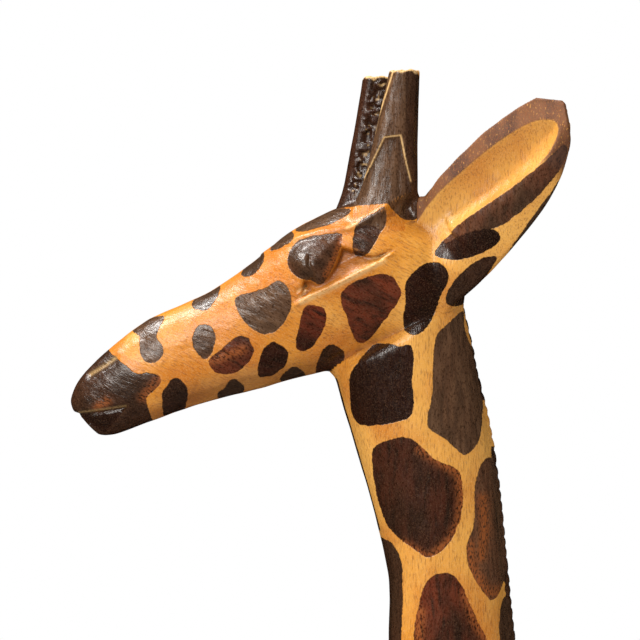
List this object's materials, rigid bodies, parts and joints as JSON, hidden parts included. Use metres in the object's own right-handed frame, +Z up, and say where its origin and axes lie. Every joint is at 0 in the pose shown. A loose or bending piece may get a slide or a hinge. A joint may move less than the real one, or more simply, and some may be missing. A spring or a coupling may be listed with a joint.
{
  "type": "carved giraffe statue",
  "caption": "Tall free-standing carved wooden giraffe with long neck, hollowed ears, flat-topped horns and painted patches.",
  "frame": {"origin": "on the floor, under the middle of the statue's bounding box", "axes": "+Z up, the giraffe faces -X, its left side faces -Y"},
  "size_m": [0.4484, 0.123, 1.198],
  "materials": {
    "carved_wood": "satin waxed honey wood with painted dark brown patches",
    "dark_wood": "satin waxed wood stained near black",
    "dowel_wood": "bare turned hardwood dowel"
  },
  "bodies": {
    "root": {"torso": "carved_wood", "neck": "carved_wood", "head": "carved_wood", "horn_left": "dark_wood", "horn_right": "dark_wood", "ear_left": "carved_wood", "ear_right": "carved_wood", "leg_front_left": "carved_wood", "leg_front_right": "carved_wood", "leg_rear_left": "carved_wood", "leg_rear_right": "carved_wood", "tail": "dark_wood", "neck_dowel": "dowel_wood", "head_dowel": "dowel_wood", "leg_dowel_front_left": "dowel_wood", "leg_dowel_front_right": "dowel_wood", "leg_dowel_rear_left": "dowel_wood", "leg_dowel_rear_right": "dowel_wood", "horn_peg_left": "dowel_wood", "horn_peg_right": "dowel_wood", "ear_peg_left": "dowel_wood", "ear_peg_right": "dowel_wood", "tail_peg": "dowel_wood"}
  },
  "joints": []
}
